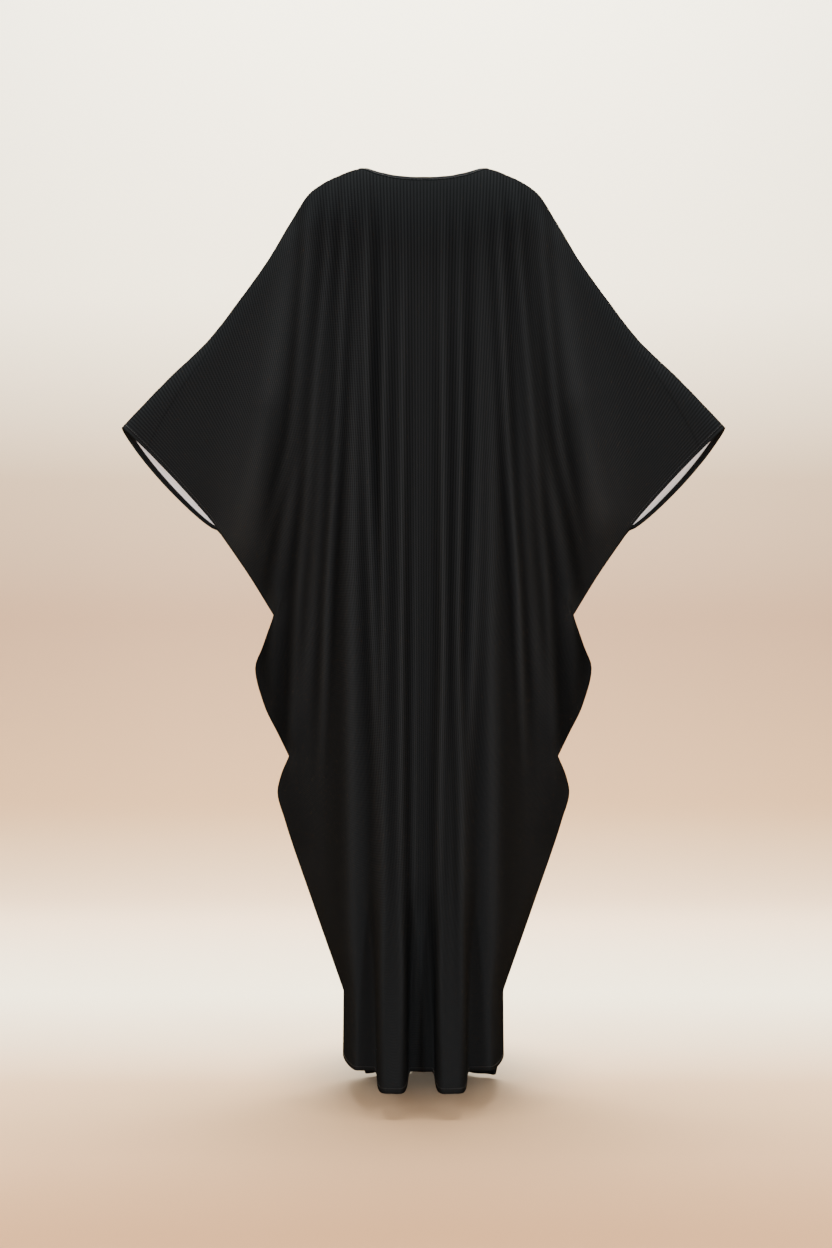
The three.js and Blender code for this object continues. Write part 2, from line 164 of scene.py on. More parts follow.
# Folds, one row each: x of the crest and how far it stands out at the five heights, its half width at
# the top and at the hem, and how steep its sides are at the hem. The steepest are the back's flutes,
# which turn into round tubes over the lowest part. The creases are the finer folds.
FOLD_HEIGHTS = [-150, -400, -700, -1000, -1380]
SOFT_STEEPNESS = 2
TUBE_STEEPNESS = 14
TUBE_ROUNDNESS = 5
STEEP_FROM = 0.78
BACK_FOLDS = [
    ("left flute", [45, 46, 47, 47, 47], [0, 10, 20, 36, 84], [17, 24], 14),
    ("right flute", [-42, -42, -40, -40, -41], [0, 10, 20, 36, 84], [16, 25], 14),
    ("left column edge", [96, 104, 108, 108, 104], [8, 17, 19, 12, 4], [15, 14], 2),
    ("right column edge", [-96, -102, -101, -104, -102], [8, 17, 19, 12, 4], [15, 14], 2),
    ("left to lower pinch", [130, 153, 174, 212, 212], [8, 15, 15, 0, 0], [15, 15], 2),
    ("right to lower pinch", [-127, -148, -171, -212, -212], [8, 15, 15, 0, 0], [15, 15], 2),
    ("left to upper pinch", [165, 184, 234, 240, 240], [8, 16, 11, 0, 0], [13, 13], 2),
    ("right to upper pinch", [-162, -178, -232, -240, -240], [8, 16, 11, 0, 0], [13, 13], 2),
    ("left sleeve fold", [205, 245, 300, 300, 300], [8, 18, 0, 0, 0], [22, 22], 2),
    ("right sleeve fold", [-203, -243, -300, -300, -300], [8, 18, 0, 0, 0], [22, 22], 2),
    ("right inner fold", [-82, -81, -76, -67, -66], [3, 9, 12, 7, 0], [9, 9], 2),
]
BACK_CREASES = [
    ("left flute outer", [58, 61, 62, 62, 66], [3, 8, 9, 8, 0], [5, 6], 2),
    ("left flute inner", [31, 32, 32, 32, 29], [2, 7, 9, 7, 0], [5, 6], 2),
    ("right flute inner", [-29, -28, -28, -22, -20], [3, 8, 9, 7, 0], [5, 6], 2),
    ("right flute outer", [-55, -56, -53, -58, -62], [3, 8, 9, 8, 0], [5, 6], 2),
    ("left of middle", [14, 13, 12, 12, 12], [0, 0, 4, 5, 0], [5, 5], 2),
    ("left beside column", [85, 84, 77, 72, 72], [6, 10, 11, 6, 0], [6, 6], 2),
    ("left under chest", [119, 130, 149, 160, 160], [7, 11, 11, 0, 0], [6, 6], 2),
    ("left under arm", [146, 168, 196, 208, 208], [8, 11, 8, 0, 0], [7, 7], 2),
    ("left to sleeve", [178, 200, 262, 262, 262], [8, 10, 0, 0, 0], [8, 8], 2),
    ("right under chest", [-114, -125, -146, -158, -158], [7, 12, 12, 0, 0], [6, 6], 2),
    ("right under arm", [-144, -164, -194, -206, -206], [8, 11, 8, 0, 0], [7, 7], 2),
    ("right to sleeve", [-181, -204, -256, -256, -256], [7, 11, 0, 0, 0], [8, 8], 2),
]
FRONT_FOLDS = [
    ("middle flute", [4, 3, 2, 0, -2], [0, 7, 16, 30, 52], [19, 25], 4),
    ("left flute", [66, 64, 62, 60, 58], [2, 11, 19, 28, 38], [14, 15], 2),
    ("right flute", [-60, -61, -60, -60, -58], [2, 9, 18, 26, 36], [14, 15], 2),
    ("left column edge", [101, 106, 108, 106, 102], [7, 15, 18, 12, 4], [15, 14], 2),
    ("right column edge", [-99, -104, -106, -105, -102], [7, 15, 18, 12, 4], [15, 14], 2),
    ("left to lower pinch", [133, 150, 172, 212, 212], [7, 15, 17, 0, 0], [12, 12], 2),
    ("right to lower pinch", [-136, -152, -174, -212, -212], [7, 14, 17, 0, 0], [12, 12], 2),
    ("left to upper pinch", [168, 186, 233, 240, 240], [7, 15, 11, 0, 0], [13, 13], 2),
    ("right to upper pinch", [-166, -182, -233, -240, -240], [7, 15, 11, 0, 0], [13, 13], 2),
    ("left sleeve fold", [207, 247, 300, 300, 300], [8, 17, 0, 0, 0], [22, 22], 2),
    ("right sleeve fold", [-206, -246, -300, -300, -300], [8, 17, 0, 0, 0], [22, 22], 2),
]
FRONT_CREASES = [
    ("left middle", [32, 33, 33, 31, 29], [1, 6, 7, 4, 0], [6, 6], 2),
    ("right middle", [-29, -31, -32, -31, -30], [1, 5, 7, 5, 0], [6, 6], 2),
    ("left beside column", [86, 84, 82, 80, 78], [3, 7, 8, 4, 0], [6, 6], 2),
    ("right beside column", [-82, -83, -80, -78, -78], [4, 6, 7, 4, 0], [6, 6], 2),
    ("left under chest", [121, 128, 140, 150, 150], [4, 8, 7, 0, 0], [7, 7], 2),
    ("right under chest", [-119, -130, -142, -150, -150], [5, 7, 6, 0, 0], [7, 7], 2),
    ("left under arm", [153, 168, 198, 208, 208], [4, 7, 5, 0, 0], [8, 8], 2),
    ("right under arm", [-151, -166, -196, -206, -206], [4, 8, 6, 0, 0], [8, 8], 2),
    ("left sleeve inner", [187, 214, 262, 262, 262], [5, 8, 0, 0, 0], [9, 9], 2),
    ("right sleeve inner", [-185, -210, -262, -262, -262], [4, 7, 0, 0, 0], [9, 9], 2),
]
BACK_FLUTES = [fold for fold in BACK_FOLDS if fold[-1] == TUBE_STEEPNESS]

# The folds fade out beside the seams, over this share of the half width
FOLDS_FADE_OVER = 0.12

# Painted light and shade in the knit's colour, lighter on a fold's crest and darker in its troughs:
# how far beside a crest its troughs lie, the rise from a trough that counts as a full crest, and what a
# plain stretch counts as
CREST_REACH = 11.0
CREST_RISE = 17.0
PLAIN_PAINTED_TONE = 0.45

# The painted light on the crest lines grows out of the smooth shoulders: where it starts below the neck
# and over what height. The shoulders get a little painted shade, over a height of their own.
PAINTED_TONES_FROM = 40.0
PAINTED_TONES_GROW_OVER = 120.0
SHOULDER_SHADE = 0.26
SHOULDER_SHADE_OVER = 260.0

# Broad light and shade on the back and the front, each along a line: its ends, half width and strength
BROAD_TONES = [
    ("left sleeve light", (200, -110), (290, -560), 30, 0.42),
    ("right sleeve light", (-198, -110), (-280, -520), 30, 0.42),
    ("left under the arm", (236, -380), (228, -640), 17, -0.25),
    ("right under the arm", (-232, -380), (-228, -640), 17, -0.25),
    ("left upper lobe", (244, -725), (222, -880), 24, -0.42),
    ("right upper lobe", (-244, -725), (-222, -880), 24, -0.42),
    ("left lower lobe", (214, -945), (196, -1040), 20, -0.2),
    ("right lower lobe", (-214, -945), (-196, -1040), 20, -0.2),
]

# Materials. The knit: how fine its ribs and the twill across them are, the twill's angle and share,
# the relief of both, its colours in a groove, darker there as painted shade, and on a rib, and its
# painted shade in a trough and painted light on a crest
RIB_SCALE = 60.0
TWILL_SCALE = 110.0
TWILL_ANGLE = 52
TWILL_SHARE = 0.35
KNIT_RELIEF = 0.225
KNIT_RELIEF_DEPTH = 0.0012
KNIT_GROOVE = (0.0041, 0.0046, 0.0050)
KNIT_RIB = (0.0100, 0.0112, 0.0122)
PAINTED_TROUGH_SHADE = 0.5
PAINTED_CREST_LIGHT = 1.6
KNIT_ROUGHNESS = 0.6

# The white reverse and the thread
REVERSE_SCALE = 90.0
REVERSE_RELIEF = 0.15
REVERSE_RELIEF_DEPTH = 0.0008
# The reverse's grooves are darker than its ribs as painted shade
REVERSE_GROOVE = (0.74, 0.74, 0.78)
REVERSE_RIB = (0.86, 0.86, 0.9)
REVERSE_ROUGHNESS = 0.8
THREAD_SCALE = 900.0
THREAD_DARK = (0.008, 0.008, 0.009)
THREAD_LIGHT = (0.02, 0.02, 0.021)
THREAD_ROUGHNESS = 0.5

# Camera: level, behind the dress, with the photograph's frame
CAMERA_DISTANCE = 3.2
CAMERA_X = 0.0116
CAMERA_Z = -0.704
CAMERA_LENS = 59.55

# Studio: a floor that curves up into a wall behind the dress
FLOOR_Z = -1.434
FLOOR_END = 6.0
WALL_Y = -3.4
WALL_TOP = 4.5
WALL_BEND = 1.2
BEND_STEPS = 24
STUDIO_HALF_WIDTH = 7.0
PAPER_ROUGHNESS = 0.9

# Tones of the studio's paper, from the floor's end behind the camera, 0, to the wall's top, 1. They are
# painted light and shade: darker in the bend from the floor up into the wall and on the floor near the
# camera, lighter on the floor behind the dress and up the wall.
PAPER_COLOUR_WITH_PAINTED_SHADE = [
    (0.355, (0.42, 0.22, 0.095)),
    (0.41, (0.62, 0.40, 0.225)),
    (0.463, (0.98, 0.88, 0.66)),
    (0.53, (0.88, 0.66, 0.44)),
    (0.60, (0.44, 0.26, 0.125)),
    (0.65, (0.35, 0.215, 0.125)),
    (0.68, (0.48, 0.36, 0.24)),
    (0.72, (0.94, 0.86, 0.67)),
    (0.79, (0.82, 0.78, 0.62)),
]

# Soft shade on the floor round the hem: its middle, its half sizes, its tone, and the share of them
# from which it fades
SHADE_PLACE = (0.0, -0.15, FLOOR_Z)
SHADE_RADII = (0.31, 0.36, 0.36)
SHADE_COLOUR = (0.27, 0.36, 0.48)
SHADE_FADES_FROM = 0.1

# Lights, one row each: name, place, the point they face, width and height, power and colour
LIGHTS = [
    ("front", (0.3, 4.3, 0.2), (0, 0, -0.7), (0.7, 0.7), 95, (1, 1, 1)),
    ("left_strip", (1.5, 3.4, -0.2), (0, 0, -0.7), (0.3, 2.2), 90, (1, 1, 1)),
    ("right_strip", (-1.5, 3.4, -0.2), (0, 0, -0.7), (0.3, 2.2), 90, (1, 1, 1)),
    ("top", (0, -0.35, 3.2), (0, 0, -1.4), (2.4, 1.6), 520, (1.0, 0.95, 0.88)),
    ("wall_wash", (0, -2.0, 2.8), (0, -3.4, 0.3), (4.0, 0.6), 400, (1, 1, 1)),
]
WORLD_COLOUR = (1.0, 0.98, 0.95)
WORLD_STRENGTH = 0.22


def mix(start, end, share):
    return start + (end - start) * share


def ease(value):
    value = np.clip(value, 0, 1)
    return value * value * (3 - 2 * value)


def quarter_round(share):
    return np.sqrt(1 - (1 - np.clip(share, 0, 1)) ** 2)


def curve_through(at, value, x):
    """Smooth curve through points that never swings past them. Values may be arrays per point."""
    at = [np.asarray(a, float) for a in at]
    value = [np.asarray(v, float) for v in value]
    last = len(at) - 1
    slope = [(value[i + 1] - value[i]) / (at[i + 1] - at[i]) for i in range(last)]
    tangent = [slope[0]]
    for before, after in zip(slope, slope[1:]):
        total = np.where(np.abs(before + after) < 1e-12, 1.0, before + after)
        tangent.append(np.where(before * after <= 0, 0.0, 2 * before * after / total))
    tangent.append(slope[-1])
    result = None
    for i in range(last):
        step = at[i + 1] - at[i]
        s = np.clip((x - at[i]) / step, 0, 1)
        rise = value[i + 1] - value[i]
        bend = (1 - s) * (tangent[i] * step - rise) - s * (tangent[i + 1] * step - rise)
        part = value[i] + rise * s + s * (1 - s) * bend
        result = part if result is None else np.where(x > at[i], part, result)
    return result


def shares_along(x, z):
    """Share of a line's length at each of its points, and its whole length."""
    lengths = np.concatenate([[0], np.cumsum(np.hypot(np.diff(x), np.diff(z)))])
    return lengths / lengths[-1], lengths[-1]


TOP_SHARES, TOP_TOTAL = shares_along(TOP_LINE["x"], TOP_LINE["z"])
SIDE_SHARES, SIDE_TOTAL = shares_along(SIDE_EDGE["x"], SIDE_EDGE["z"])
CUFF_SHARE = CUFF_LENGTH / SIDE_TOTAL
CUFF_ALONG = CUFF_LENGTH + TOP_LINE["round"][-1] * (math.pi / 2 - 1)


def on_top(field, share):
    return curve_through(TOP_SHARES, TOP_LINE[field], share)


def on_side(field, down):
    """Value on the side edge, smooth between its corners."""
    result = None
    for start, end in zip(SIDE_CORNERS, SIDE_CORNERS[1:]):
        span = slice(start, end + 1)
        part = curve_through(SIDE_SHARES[span], SIDE_EDGE[field][span], down)
        result = part if result is None else np.where(down > SIDE_SHARES[start], part, result)
    return result


def section(field, down):
    return curve_through(SECTIONS["down"], SECTIONS[field], down)


def fold_rise(folds, x, z, is_round=True):
    """How far the folds stand out. With is_round the back's flutes turn into tubes at the hem."""
    rise = np.zeros(np.broadcast(x, z).shape)
    fall = -np.asarray(z, float)
    share = np.clip(z / HEM_LEVEL, 0, 1)
    steep = ease((share - STEEP_FROM) / (1 - STEEP_FROM))
    heights = [-h for h in FOLD_HEIGHTS]
    for _, crest, out, half, steepness in folds:
        away = np.abs(x - curve_through(heights, crest, fall)) / mix(half[0], half[1], share)
        profile = 2.0 ** -(away ** mix(SOFT_STEEPNESS, steepness, steep))
        if steepness == TUBE_STEEPNESS and is_round:
            tube = np.sqrt(1 - np.clip(away, 0, 1) ** TUBE_ROUNDNESS)
            profile = mix(profile, tube, steep)
        rise = rise + curve_through(heights, out, fall) * profile
    return rise


def hem_z(is_back, share, sign):
    """Height of the hem's edge: the front hangs lower in its middle, the back at its flutes."""
    x = share * SIDE_EDGE["x"][-1]
    low_to = np.where(sign > 0, FRONT_HEM_TO_LEFT, FRONT_HEM_TO_RIGHT)
    front = HEM_LEVEL - FRONT_HEM_DROP * (1 - ease((x - low_to) / FRONT_HEM_CORNER))
    at_hem = np.full(np.shape(x), HEM_LEVEL)
    back = HEM_LEVEL - FLUTE_HANG * fold_rise(BACK_FLUTES, sign * x, at_hem, is_round=False)
    return np.where(is_back, back, front)


def near_cuff_edge(share):
    """How close to the cuff's edge, from 0 where its bow starts to 1 at the edge."""
    return ease((share - CUFF_BOW_FROM) / (1 - CUFF_BOW_FROM))


def cloth(across, along):
    """Points of the outer face, in millimetres. across runs from -1 to 1 over the width. along is the
    distance over the cloth from the top line, down the front where positive, the back where negative."""
    sign = np.where(across < 0, -1.0, 1.0)
    share = np.abs(across)
    is_back = along < 0
    facing = np.where(is_back, 1.0, -1.0)

    # Turn over the top line, then hang down
    turn_round = on_top("round", share)
    distance = np.abs(along)
    angle = np.minimum(distance / turn_round, math.pi / 2)
    drop = turn_round * (1 - np.cos(angle)) + np.maximum(0, distance - turn_round * math.pi / 2)
    down = np.clip(drop / mix(-HEM_LEVEL, SIDE_TOTAL, share), 0, 1)

    # Spread between the top line, the hem and the side edge, which pulls more the nearer it is
    pull = share ** 2
    side_x, side_y, side_z = (on_side(field, down) for field in "xyz")
    corner_x = mix(TOP_LINE["x"][-1], SIDE_EDGE["x"][-1], down)
    corner_z = mix(TOP_LINE["z"][-1], SIDE_EDGE["z"][-1], down)
    hem_x = share * SIDE_EDGE["x"][-1]
    hem_shape = (hem_z(is_back, share, sign) - HEM_LEVEL) * down ** HEM_SHAPE_FADES
    x = (1 - down) * on_top("x", share) + down * hem_x + pull * (side_x - corner_x)
    z = (1 - down) * on_top("z", share) + down * HEM_LEVEL + hem_shape + pull * (side_z - corner_z)

    # Bow of the cuff's edge
    in_cuff = np.clip(1 - down / CUFF_SHARE, 0, 1)
    bow = np.sqrt(np.clip(np.sin(math.pi * in_cuff), 0, 1)) * near_cuff_edge(share)
    bow = bow * np.where(is_back, CUFF_BOW_BACK, CUFF_BOW_FRONT) * CUFF_SLOPE
    x = x + bow
    z = z - bow

    # Depth from the sections, then the turn at the side seam with the folds
    edge_x = np.maximum(side_x, x + LEAST_TO_EDGE)
    at = [np.zeros_like(x), section("column_x", down), section("wing_x", down), edge_x]
    rim = section("rim", down)
    back = [section("back", down), section("back_column", down), section("back_wing", down), side_y + rim]
    front = [section("front", down), section("front_column", down), section("front_wing", down), rim - side_y]
    depth = np.where(is_back, curve_through(at, back, x), curve_through(at, front, x))

    above_seam = np.maximum(0, CUFF_SHARE - down) * SIDE_TOTAL / TOP_TOTAL
    to_seam = np.hypot(1 - share, above_seam)
    turn = np.where(is_back, section("turn", down), section("front_turn", down))
    closing = quarter_round(to_seam / turn)
    back_rise = fold_rise(BACK_FOLDS + BACK_CREASES, sign * x, z)
    front_rise = fold_rise(FRONT_FOLDS + FRONT_CREASES, sign * x, z)
    rise = np.where(is_back, back_rise, front_rise) * ease(to_seam / FOLDS_FADE_OVER)
    full = facing * (depth + rise) * np.sin(angle)
    y = mix(side_y * np.sin(angle), full, closing)
    return np.stack([sign * x, y, z], -1)


def cloth_normals(across, along):
    """Directions out of the cloth, from its points a little to all four sides."""
    share_step = NORMAL_STEP / TOP_TOTAL
    limit = grain_length(np.abs(across))
    left = cloth(np.minimum(across + share_step, 1), along)
    right = cloth(np.maximum(across - share_step, -1), along)
    later = cloth(across, np.minimum(along + NORMAL_STEP, limit))
    earlier = cloth(across, np.maximum(along - NORMAL_STEP, -limit))
    normal = np.cross(later - earlier, left - right)
    on_seam = (np.abs(across) == 1) & (np.abs(along) > CUFF_ALONG)
    normal[..., 1] = np.where(on_seam, 0, normal[..., 1])
    return normal / np.linalg.norm(normal, axis=-1, keepdims=True)


def grain_length(share):
    """Distance over the cloth from the top line to the hem."""
    return mix(-HEM_LEVEL, SIDE_TOTAL, share) + on_top("round", share) * (math.pi / 2 - 1)


def seam_along(share):
    """The sleeve seam's place: on the top line at first, then on the back of the sleeve."""
    return -SEAM_DROP_AT_CUFF * np.clip((share - SEAM_LEAVES_TOP_AT) / (1 - SEAM_LEAVES_TOP_AT), 0, 1)


def panel_start(is_back, share):
    """Where a panel starts: at the neck binding, and beyond it at the sleeve seam."""
    reach = NECK_HALF_WIDTH + BINDING_WIDTH + BINDING_GAP
    x = share * TOP_TOTAL
    deep = (NECK_TO_BACK if is_back else NECK_TO_FRONT) + BINDING_WIDTH + BINDING_GAP
    inside = np.maximum(deep * np.sqrt(np.clip(1 - (x / reach) ** 2, 0, 1)), SEAM_GAP / 2)
    sign = -1.0 if is_back else 1.0
    return np.where(x < reach, sign * inside, seam_along(share) + sign * SEAM_GAP / 2)


def column_shares():
    """Places of the mesh's columns over the width, from -1 to 1, close together at the cuffs."""
    reach = NECK_HALF_WIDTH + BINDING_WIDTH + BINDING_GAP
    quarter = np.arange(NECK_COLUMNS) / NECK_COLUMNS * math.pi / 2
    neck = reach * np.sin(quarter) / TOP_TOTAL
    turning = TURNED_HEM / TOP_TOTAL
    sleeve = np.linspace(reach / TOP_TOTAL, 1 - SLEEVE_COLUMNS_END * turning, SLEEVE_COLUMNS)
    edge = 1 - turning * np.array(BAND_COLUMNS)
    half = np.concatenate([neck, sleeve, edge])
    return np.concatenate([-half[:0:-1], half])


def row_shares(is_back):
    """Places of the mesh's rows from a panel's start, 0, to its hem, 1, with one at each bend of the side."""
    start = float(panel_start(is_back, np.array([1.0]))[0])
    end = (-1.0 if is_back else 1.0) * float(grain_length(np.array([1.0]))[0])
    span = abs(end - start)
    turned = TOP_LINE["round"][-1] * (math.pi / 2 - 1)
    above_top = start if is_back else -start
    keys = SIDE_SHARES[1:] * SIDE_TOTAL + turned + above_top
    rows = [0.0, *SEAM_ROWS, *(keys[0] * np.arange(1, TOP_ROWS) / TOP_ROWS)]
    for low, high in zip(keys[:-1], keys[1:]):
        steps = max(1, round((high - low) / ROW_STEP))
        rows += list(mix(low, high, np.arange(steps) / steps))
    rows = [row for row in rows if row < span - ROWS_END * TURNED_HEM]
    rows += [span - widths * TURNED_HEM for widths in BAND_ROWS]
    return np.array(rows) / span


def cut_place(across, along):
    """Place on the cut cloth, in metres, for the weave."""
    lower = np.clip((np.abs(along) - CUFF_LENGTH) / (-HEM_LEVEL - CUFF_LENGTH), 0, 1)
    return np.stack([across * mix(CUT_HALF_AT_SLEEVE, CUT_HALF_AT_HEM, lower), along * MM], -1)


def add_object(name, data):
    thing = bpy.data.objects.new(name, data)
    bpy.context.collection.objects.link(thing)
    return thing


def shell(name, outer, inner, place, crest, materials, inner_slot, is_ring=False, is_reversed=False):
    """Closed thin wall between two grids of points, with the cut cloth's places as its UV map and each
    point's painted light and shade as an attribute. inner_slot is the material of each inner face."""
    columns, rows = outer.shape[:2]
    vertices = np.concatenate([outer.reshape(-1, 3), inner.reshape(-1, 3)]) * MM
    grid = np.arange(columns * rows).reshape(columns, rows)
    if is_ring:
        grid = np.concatenate([grid, grid[:1]])
    offset = columns * rows
    a, b, c, d = grid[:-1, :-1], grid[:-1, 1:], grid[1:, 1:], grid[1:, :-1]
    outside = np.stack([a, b, c, d], -1).reshape(-1, 4)
    inside = np.stack([a, d, c, b], -1).reshape(-1, 4) + offset

    def rim(line, flip):
        quads = np.stack([line[:-1], line[1:], line[1:] + offset, line[:-1] + offset], -1)
        return quads[:, ::-1] if flip else quads

    edges = [rim(grid[:, 0], False), rim(grid[:, -1], True)]
    if not is_ring:
        edges += [rim(grid[0], True), rim(grid[-1], False)]
    faces = np.concatenate([outside, inside] + edges)
    if is_reversed:
        faces = faces[:, ::-1]
    mesh = bpy.data.meshes.new(name)
    mesh.from_pydata(vertices.tolist(), [], faces.tolist())
    uv = mesh.uv_layers.new(name="cut")
    corner_vertices = np.empty(len(mesh.loops), dtype=np.int32)
    mesh.loops.foreach_get("vertex_index", corner_vertices)
    uv.data.foreach_set("uv", place.reshape(-1, 2)[corner_vertices % offset].ravel())
    # The crest attribute holds each point's painted light and shade
    light_and_shade_values = mesh.attributes.new("crest", "FLOAT", "POINT")
    light_and_shade_values.data.foreach_set("value", np.tile(crest.reshape(-1), 2))
    slots = np.zeros(len(faces), dtype=np.int32)
    slots[len(outside):len(outside) + len(inside)] = inner_slot.reshape(-1)
    mesh.polygons.foreach_set("material_index", slots)
    is_smooth = np.arange(len(faces)) < len(outside) + len(inside)
    mesh.polygons.foreach_set("use_smooth", is_smooth)
    for material in materials:
        mesh.materials.append(material)
    mesh.update()
    return add_object(name, mesh)


def painted_light_share(is_back, points):
    """Painted light and shade of the knit at points, from 0 in a trough to 1 on a fold's crest, with painted
    shade on the shoulders and the broad painted light and shade.
    """
    folds = BACK_FOLDS + BACK_CREASES if is_back else FRONT_FOLDS + FRONT_CREASES
    soft = [fold for fold in folds if fold[-1] == SOFT_STEEPNESS]
    x, z = points[..., 0], points[..., 2]
    beside = fold_rise(soft, x - CREST_REACH, z) + fold_rise(soft, x + CREST_REACH, z)
    start = ease((-z - PAINTED_TONES_FROM) / PAINTED_TONES_GROW_OVER)
    crest = PLAIN_PAINTED_TONE + start * (fold_rise(soft, x, z) - beside / 2) / CREST_RISE
    # Painted shade on the shoulders
    crest = crest - SHOULDER_SHADE * (1 - ease(-z / SHOULDER_SHADE_OVER))
    # Broad painted light and shade along lines
    for _, (x0, z0), (x1, z1), half, strength in BROAD_TONES:
        run = np.array([x1 - x0, z1 - z0], float)
        place = np.stack([x - x0, z - z0], -1)
        share = np.clip(place @ run / (run @ run), 0, 1)
        away = np.linalg.norm(place - share[..., None] * run, axis=-1) / half
        crest = crest + strength * 2.0 ** -(away ** 2)
    return np.clip(crest, 0, 1)


def make_panel(name, is_back, materials):
    """One panel: its mesh's grid on the cloth, its wall, and which of its inner faces are black."""
    columns = column_shares()
    rows = row_shares(is_back)
    share = np.abs(columns)
    facing = 1.0 if is_back else -1.0
    start = panel_start(is_back, share)
    end = -facing * grain_length(share)
    along = start[:, None] + (end - start)[:, None] * rows[None, :]
    across = np.repeat(columns[:, None], len(rows), 1)
    outer = cloth(across, along)

    # A gap along the cuff, and which points are turned or black
    outer[..., 1] += facing * (SEAM_GAP / 2) * near_cuff_edge(np.abs(across))
    from_edge = (1 - np.abs(across)) * TOP_TOTAL
    near_hem = np.abs(end[:, None] - along) < TURNED_HEM * BAND_SLACK
    at_cuff = from_edge < TURNED_HEM * BAND_SLACK
    turned = near_hem | (at_cuff & (np.abs(along) < CUFF_ALONG - TURNED_HEM))
    is_black = near_hem | (at_cuff & (np.abs(along) < CUFF_ALONG + 2 * TURNED_HEM))
    is_black = is_black | (from_edge < SEAM_EDGE)
    thickness = WALL + np.where(turned, TURNED_HEM_EXTRA, 0)
    normals = cloth_normals(across, along)

    # The dip beside the seam, then the wall and the black faces inside
    in_seam = 1 - ease(np.abs(along - start[:, None]) / SEAM_DIP_OVER)
    outer = outer - normals * (SEAM_DIP * in_seam)[..., None]
    inner = outer - normals * thickness[..., None]
    corners = is_black.astype(int)
    inner_black = corners[:-1, :-1] + corners[1:, :-1] + corners[:-1, 1:] + corners[1:, 1:] > 2
    place = cut_place(across, along)
    # Painted light and shade of the knit, kept as the crest attribute
    crest = painted_light_share(is_back, outer)
    slots = np.where(inner_black, 0, 1)
    return shell(name, outer, inner, place, crest, materials, slots, is_reversed=is_back)


def make_binding(material):
    """Closed strip round the neck opening, puffed up a little between its edges."""
    steps = 4 * NECK_COLUMNS
    angle = 2 * math.pi * np.arange(steps)[:, None] / steps
    profile = np.array(BINDING_ROWS) * BINDING_WIDTH
    width = np.repeat(profile[None, :], steps, 0)
    puff = BINDING_PUFF * quarter_round(np.minimum(width, BINDING_WIDTH - width) / BINDING_ROUNDING)
    x = (NECK_HALF_WIDTH + width) * np.cos(angle)
    reach = np.where(np.sin(angle) > 0, NECK_TO_FRONT, NECK_TO_BACK) + width
    along = reach * np.sin(angle)
    across = x / TOP_TOTAL
    normals = cloth_normals(across, along)
    middle = cloth(across, along)
    outer = middle + normals * puff[..., None]
    inner = middle - normals * BINDING_WALL
    place = np.stack([np.repeat(angle, len(profile), 1) * BINDING_WEAVE_RADIUS, width * MM], -1)
    slots = np.zeros((steps, len(profile) - 1), dtype=int)
    # The binding's knit gets the plain stretch's painted tone
    crest = np.full(width.shape, PLAIN_PAINTED_TONE)
    name = "neck_binding_cloth"
    return shell(name, outer, inner, place, crest, [material], slots, is_ring=True, is_reversed=True)


def stitch_line(name, across, along, lift, material):
    """Row of short thread stitches along a line on the cloth, each a three-ringed bead."""
    normals = cloth_normals(across, along)
    points = cloth(across, along) + normals * lift
    run = np.concatenate([[0], np.cumsum(np.linalg.norm(np.diff(points, axis=0), axis=1))])
    turns = [math.tau * k / STITCH_SIDES for k in range(STITCH_SIDES)]
    verts = []
    faces = []
    for i in range(int(run[-1] / STITCH_PITCH)):
        ends = (np.array(STITCH_SPOTS) + i) * STITCH_PITCH
        spots = np.stack([np.interp(ends, run, points[:, k]) for k in range(3)], -1)
        out = np.stack([np.interp(ends[1], run, normals[:, k]) for k in range(3)], -1)
        forward = spots[2] - spots[0]
        forward = forward / np.linalg.norm(forward)
        out = out - forward * np.dot(out, forward)
        out = out / np.linalg.norm(out)
        beside = np.cross(forward, out)
        base = len(verts)
        for spot, radius, height in zip(spots, STITCH_RADII, STITCH_HEIGHTS):
            for turn in turns:
                up = out * (height + radius * math.sin(turn))
                verts.append((spot + up + beside * radius * math.cos(turn)) * MM)
        middle = base + STITCH_SIDES
        end = middle + STITCH_SIDES
        for k in range(STITCH_SIDES):
            n = (k + 1) % STITCH_SIDES
            faces.append((base + k, base + n, middle + n, middle + k))
            faces.append((middle + k, middle + n, end + n, end + k))
        faces.append(tuple(base + k for k in reversed(range(STITCH_SIDES))))
        faces.append(tuple(end + k for k in range(STITCH_SIDES)))
    mesh = bpy.data.meshes.new(name)
    mesh.from_pydata([tuple(v) for v in verts], [], faces)
    mesh.materials.append(material)
    mesh.update()
    return add_object(name, mesh)


def make_stitches(material):
    """Topstitching round the neck binding, both cuffs and both hems."""
    turn = np.linspace(0, 2 * math.pi, NECK_STITCH_POINTS)
    width = BINDING_WIDTH - NECK_STITCH_IN
    reach = np.where(np.sin(turn) > 0, NECK_TO_FRONT, NECK_TO_BACK) + width
    round_neck = (NECK_HALF_WIDTH + width) * np.cos(turn) / TOP_TOTAL
    pieces = [stitch_line("neck_stitches", round_neck, reach * np.sin(turn), BINDING_PUFF, material)]
    cuff_reach = CUFF_ALONG - CUFF_STITCH_IN
    round_cuff = np.linspace(-cuff_reach, cuff_reach, CUFF_STITCH_POINTS)
    for name, sign in (("left", 1.0), ("right", -1.0)):
        across = np.full_like(round_cuff, sign * (1 - CUFF_STITCH_IN / TOP_TOTAL))
        pieces.append(stitch_line(name + "_cuff_stitches", across, round_cuff, 0.0, material))
    over_hem = np.linspace(-HEM_STITCH_REACH, HEM_STITCH_REACH, HEM_STITCH_POINTS)
    for name, facing in (("back", -1.0), ("front", 1.0)):
        along = facing * (grain_length(np.abs(over_hem)) - HEM_STITCH_IN)
        pieces.append(stitch_line(name + "_hem_stitches", over_hem, along, 0.0, material))
    return pieces


